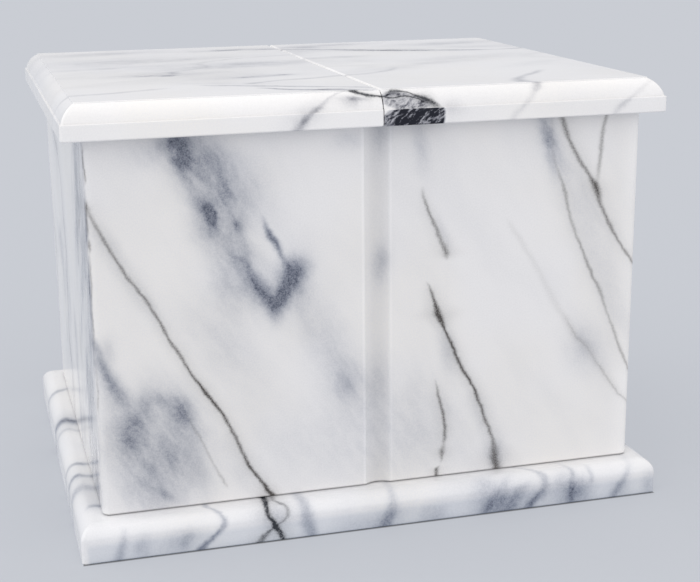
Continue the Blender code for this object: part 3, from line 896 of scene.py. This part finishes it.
def body_pattern(graph, point, wavy):
    """Veins that show on the body's front and go a little way in; painted shade and light on it; a dark
    band at its foot.
    """
    low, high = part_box("body")
    front = low.y / MM
    x, y, z = graph.split(wavy)
    true_x, true_y, true_z = graph.split(point)
    fine = 0.0
    for rows, halo in FINE_FRONT_VEINS:
        fine = graph.vein(fine, z, x, rows, halo)
    hearts = graph.veins(0.0, z, x, SOFT_FRONT_VEINS)
    hearts = graph.patches(hearts, wavy, FRONT_HEARTS, (front, PATCH_DEPTH))
    haze = graph.patches(0.0, wavy, FRONT_HAZE, (front, PATCH_DEPTH))
    depth = graph.minus(true_y, front)
    shown = graph.fall(depth, *FRONT_DEPTHS)
    deep = graph.minus(1.0, shown)
    left = low.x / MM
    at_left = graph.fall(true_x, left + 0.5, left + 2.0)
    at_left = graph.times(at_left, graph.step(depth, 0.5, 3.0))
    corner = graph.vein(0.0, z, graph.minus(x, y), CORNER_MARKS)
    at_corner = graph.step(true_x, left + 3.0, left + 5.0, 1.3, 0.0)
    fine = graph.onto(graph.times(fine, shown), corner, at_corner)
    slanting = graph.placed(wavy, turn=SIDE_HAZE_TURN, lengths=SIDE_HAZE_LENGTHS)
    side_haze = graph.step(graph.noise(slanting, 1.0, 3.0, 0.6), 0.36, 0.64, 0.16, 0.62)
    side_haze = graph.times(side_haze, graph.fall(depth, *SIDE_HAZE_DEPTHS))
    side_haze = graph.times(side_haze, graph.step(true_z, *SIDE_HAZE_TOP, 1.0, 0.5))
    near_corner = graph.step(depth, *CLEAR_CORNER_DEPTHS, 0.8, 0.0)
    near_corner = graph.times(near_corner, graph.fall(true_z, *CLEAR_CORNER_TOP))
    side_haze = graph.times(side_haze, graph.minus(1.0, near_corner))
    haze = graph.onto(graph.times(haze, shown), side_haze, at_left)
    # A thin dark band at the body's foot, along its joint with the plinth; a strip of painted light down
    # the right edge; and the flute's painted shade and highlights
    foot = graph.step(true_z, low.z / MM + 0.3, low.z / MM + 1.1, 3.0, 0.0)
    painted_right_light = graph.step(true_x, high.x / MM - PAINTED_LIGHT_EDGE_WIDTH, high.x / MM, 0.0, -0.5)
    darkening = graph.plus(graph.plus(foot, painted_right_light), flute_painted_light(graph, point, depth))
    tone_and_painted_light = grey_share(graph, darkening, BODY_DARKENED_LEVEL)
    return fine, haze, graph.times(hearts, shown), deep, tone_and_painted_light


def reach_of(graph, point, node, foot):
    """How far a point is up the front edge, over the moulding and back across the top."""
    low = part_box(node)[0]
    x, y, z = graph.split(point)
    start = (low.y + foot) / MM
    return x, graph.minus(graph.plus(y, z), start)


def lid_pattern(node, side, marks):
    """The pattern of one lid. Side is -1 for the left one, which has its joint at its right."""
    def pattern(graph, point, wavy):
        low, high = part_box(node)
        foot = low.z + STEP_HEIGHT
        x, reach = reach_of(graph, wavy, node, foot)
        true_x, true_reach = reach_of(graph, point, node, foot)
        fine = graph.veins(0.0, x, reach, marks.fine, 0.14)
        hearts = graph.veins(0.0, x, reach, marks.soft)
        hearts = graph.veins(hearts, reach, x, marks.crossings)
        flat = graph.joined(x, 0.0, reach)
        hearts = graph.patches(hearts, flat, marks.hearts)
        haze = graph.patches(0.0, flat, marks.haze)
        if side > 0:
            hearts = graph.plus(hearts, black_patch(graph, true_x, reach, true_reach, wavy))
        deep = graph.step(true_reach, *LID_DEEP_START, 0.0, 0.36)
        joint = (low.x if side > 0 else high.x) / MM
        # A painted highlight on the top beside the joint, along the joint's eased edge
        pale = graph.fall(graph.distance(true_x, joint), *JOINT_EDGE)
        pale = graph.times(pale, graph.step(true_reach, *TOP_START))
        # The moulding is a little darker, and the ledge much darker: painted shade that dims the ledge's
        # bright line
        moulding = graph.fall(true_reach, *MOULDING_END)
        moulding = graph.times(moulding, graph.step(true_reach, *MOULDING_START))
        ledge = graph.line(true_reach, LEDGE_REACH, 0.6)
        darkening = graph.onto(moulding, ledge, 3.4)
        darkening = graph.onto(darkening, pale, -0.9)
        return fine, haze, hearts, deep, grey_share(graph, darkening, LID_DARKENED_LEVEL)
    return pattern


def black_patch(graph, x, reach, true_reach, wavy):
    """The black patch on the right lid's rim, and the cracked grey patch like a lens above it."""
    corner = graph.math("DIVIDE", graph.distance(true_reach, PATCH_MIDDLE), PATCH_HALF_HEIGHT)
    rounding = graph.onto(x, graph.math("POWER", corner, 4.0), 2.4)
    right_end = graph.fall(rounding, *PATCH_RIGHT_END)
    taper = graph.minus(graph.onto(4.6, x, 0.8), reach)
    upper_left = graph.step(taper, -0.6, 1.4)
    rim = graph.fall(true_reach, *PATCH_TOP)
    area = graph.times(graph.times(right_end, upper_left), rim)
    turned = graph.placed(wavy, turn=(0, -40, 0), lengths=(6.5, 6.5, 1.9))
    slanting = graph.noise(turned, 1.0, 3.0, 0.62)
    streaks = graph.step(slanting, 0.4, 0.68, 1.34, 0.56)
    left_end = graph.step(x, 5.0, 12.0, 0.72, 1.0)
    patch = graph.times(area, graph.times(streaks, left_end))
    oval = graph.patches(0.0, graph.joined(x, 0.0, reach), (LENS_OVAL,))
    lens = graph.times(graph.step(oval, 0.3, 0.55), graph.minus(1.0, rim))
    cracks = graph.noise(graph.placed(wavy, turn=(0, -30, 0), lengths=(4, 4, 1.6)), 1.0, 4.0, 0.65)
    lens = graph.times(lens, graph.step(cracks, 0.4, 0.66, 0.36, 0.88))
    return graph.plus(patch, lens)


def plinth_pattern(graph, point, wavy):
    """The veins round the plinth's front edge and across its left strip, its darker upright faces, and
    painted shade at its foot.
    """
    x, reach = reach_of(graph, wavy, "plinth", 0.0)
    true_reach = reach_of(graph, point, "plinth", 0.0)[1]
    fine = graph.veins(0.0, reach, x, PLINTH_BLACK_VEINS, 0.2)
    hearts = graph.veins(0.0, reach, x, PLINTH_SOFT_VEINS)
    flat = graph.joined(x, 0.0, reach)
    hearts = graph.patches(hearts, flat, PLINTH_HEARTS)
    haze = graph.patches(0.0, flat, PLINTH_HAZE)
    shown = graph.fall(true_reach, *PLINTH_REACHES)
    hidden = graph.minus(1.0, shown)
    true_x, true_z = graph.split(point)[::2]
    at_left = graph.times(graph.fall(true_x, *LEFT_STRIP_END), hidden)
    across = graph.veins(0.0, x, graph.split(wavy)[1], PLINTH_LEFT_VEINS, 0.3, 3.0)
    fine = graph.times(fine, shown)
    hearts = graph.onto(graph.times(hearts, shown), across, at_left)
    haze = graph.times(haze, shown)
    deep = graph.times(hidden, graph.minus(1.0, at_left))
    # Upright faces, all but the left one, are darker and bluer; nearer the floor they darken more, a
    # painted shade at the plinth's foot
    upright = graph.times(graph.fall(true_z, *UPRIGHT_TOP), graph.step(true_x, *UPRIGHT_LEFT))
    foot = graph.plus(graph.step(true_z, 0.0, 6.0, 1.35, 1.0), graph.step(true_z, 0.0, 1.2, 1.4, 0.0))
    darkening = graph.times(upright, foot)
    tone_and_painted_light = [graph.onto(1.0, darkening, -loss) for loss in UPRIGHT_LOSSES]
    return fine, haze, hearts, deep, graph.joined(*tone_and_painted_light)


def make_camera():
    """The photograph's own viewpoint."""
    camera = bpy.data.objects.new("camera", bpy.data.cameras.new("camera"))
    camera.data.lens = CAMERA_LENS
    camera.data.sensor_width = SENSOR_WIDTH
    yaw = Matrix.Rotation(CAMERA_YAW, 4, "Z")
    pitch = Matrix.Rotation(QUARTER_TURN - CAMERA_PITCH, 4, "X")
    roll = Matrix.Rotation(CAMERA_ROLL, 4, "Z")
    camera.matrix_world = Matrix.Translation(CAMERA_PLACE) @ yaw @ pitch @ roll
    bpy.context.scene.collection.objects.link(camera)
    bpy.context.scene.camera = camera


def floor_glow_with_painted_contact_shadow(graph):
    """1 on the open floor and 0 under the plinth and in a thin strip along its front and back: a painted
    contact shadow at its foot.
    """
    low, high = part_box("plinth")
    middle = (low + high) / 2
    half = (high - low) / 2
    place = graph.add("TexCoord").outputs["Object"]
    from_middle = graph.vector("ABSOLUTE", graph.vector("SUBTRACT", place, (middle.x, middle.y, 0.0)))
    outside = graph.vector("SUBTRACT", from_middle, (half.x, half.y, 0.0))
    x, y = graph.split(outside)[:2]
    return graph.math("MAXIMUM", graph.step(x, *CONTACT_SHADOW_SIDE), graph.step(y, *CONTACT_SHADOW_FRONT))


def make_floor():
    """A plain pale floor, with a painted contact shadow where its glow stops along the plinth's foot."""
    bpy.ops.mesh.primitive_plane_add(size=2 * FLOOR_HALF)
    floor = bpy.context.object
    floor.name = "floor"
    material = bpy.data.materials.new("floor")
    material.use_nodes = True
    shader = material.node_tree.nodes["Principled BSDF"]
    shader.inputs["Base Color"].default_value = FLOOR_COLOUR
    shader.inputs["Roughness"].default_value = 1.0
    shader.inputs["Specular IOR Level"].default_value = 0.0
    graph = Graph(material.node_tree)
    shader.inputs["Emission Color"].default_value = FLOOR_GLOW
    # The glow is left out along the plinth's foot, which paints a contact shadow there
    graph.plug(shader.inputs["Emission Strength"], floor_glow_with_painted_contact_shadow(graph))
    floor.data.materials.append(material)


def make_dome():
    """Soft light from all round, strongest from the front above, with a fill from the left."""
    world = bpy.data.worlds.new("studio")
    world.use_nodes = True
    bpy.context.scene.world = world
    graph = Graph(world.node_tree)
    direction = graph.add("TexCoord").outputs["Generated"]
    lit = graph.ramp(graph.split(direction)[2], DOME)
    for towards, spread, colour in KEY_LOBES:
        facing = graph.vector("DOT_PRODUCT", direction, Vector(towards).normalized())
        lobe = graph.math("POWER", graph.math("MAXIMUM", facing, 0.0), spread)
        lit = graph.vector("ADD", lit, graph.scaled(colour, lobe))
    graph.plug(world.node_tree.nodes["Background"].inputs["Color"], lit)


def set_view():
    """Plain colours, with no film curve."""
    view = bpy.context.scene.view_settings
    view.view_transform = "Standard"
    view.look = "None"
    view.exposure = 0.0
    view.gamma = 1.0


make_camera()
make_floor()
make_dome()
set_view()

plinth_marble = marble("plinth_marble", PLINTH_STONE, plinth_pattern)
finish_piece(make_plinth_mesh(), "plinth", plinth_marble)

body_marble = marble("body_marble", BODY_STONE, body_pattern)
finish_piece(make_body_mesh(), "body", body_marble)

left_pattern = lid_pattern("left_lid", -1, LEFT_LID_MARKS)
left_marble = marble("left_lid_marble", LEFT_LID_STONE, left_pattern)
finish_piece(make_lid_mesh("left_lid", -1), "left_lid", left_marble)

right_pattern = lid_pattern("right_lid", 1, RIGHT_LID_MARKS)
right_marble = marble("right_lid_marble", RIGHT_LID_STONE, right_pattern)
finish_piece(make_lid_mesh("right_lid", 1), "right_lid", right_marble)
